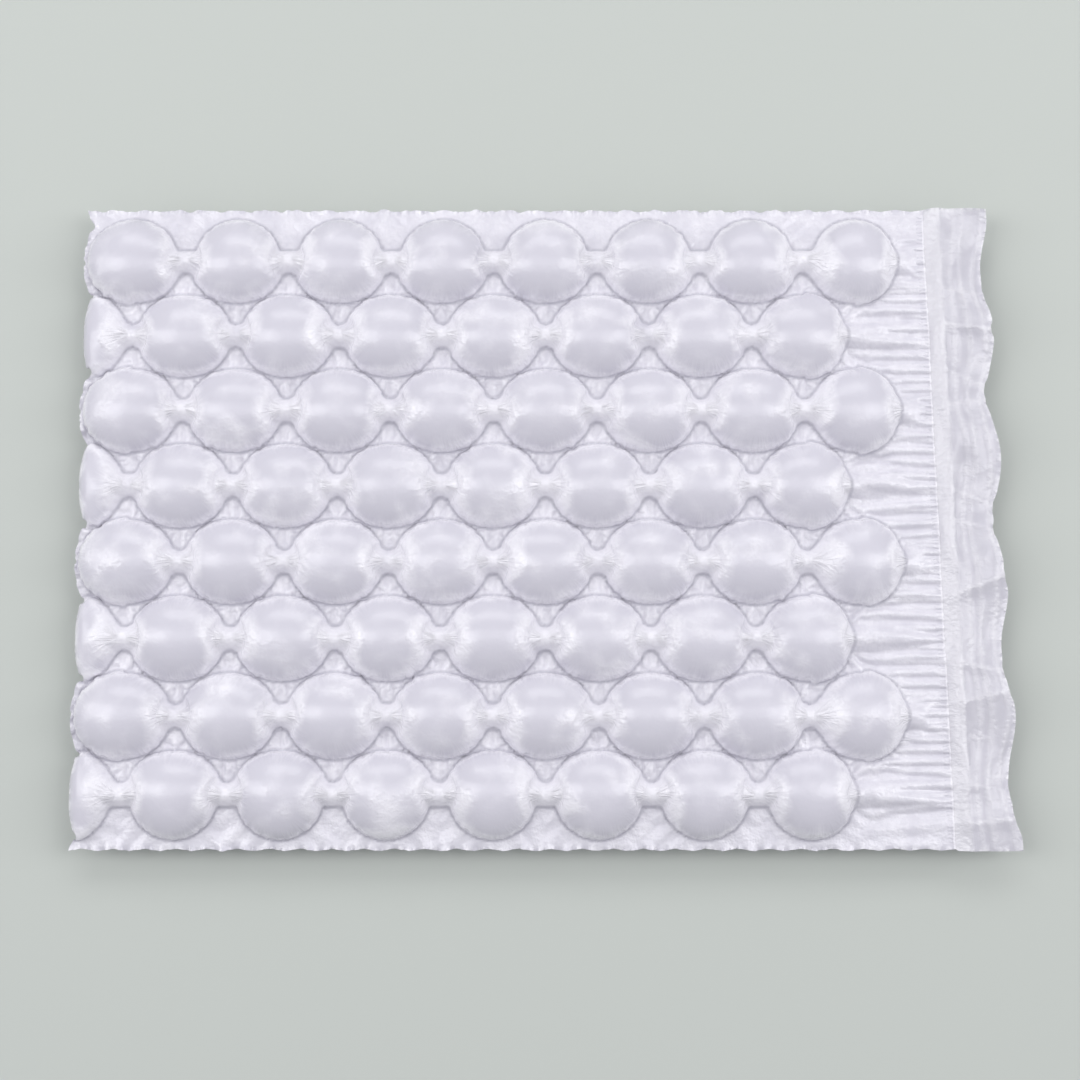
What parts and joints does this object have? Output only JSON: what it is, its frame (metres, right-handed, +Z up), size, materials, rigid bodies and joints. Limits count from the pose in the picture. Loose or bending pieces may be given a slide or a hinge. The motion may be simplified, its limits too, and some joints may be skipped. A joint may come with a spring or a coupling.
{
  "type": "inflated air cushion film length",
  "caption": "Flat inflated length of clear cushioning film: offset rows of domed air bubbles joined by necks, with welded webs, gathered channels and a loose ruffled flap on one side.",
  "frame": {"origin": "centre of the footprint, on the surface that the bubbles rest on", "axes": "+X along the rows of bubbles, from the folded edge to the filling flap; +Y along the film; +Z up, out of the sheet"},
  "size_m": [0.3346, 0.2318, 0.02],
  "materials": {
    "film": "clear, slightly milky polyethylene film"
  },
  "bodies": {
    "root": {"air_cushion_film": "film"}
  },
  "joints": []
}
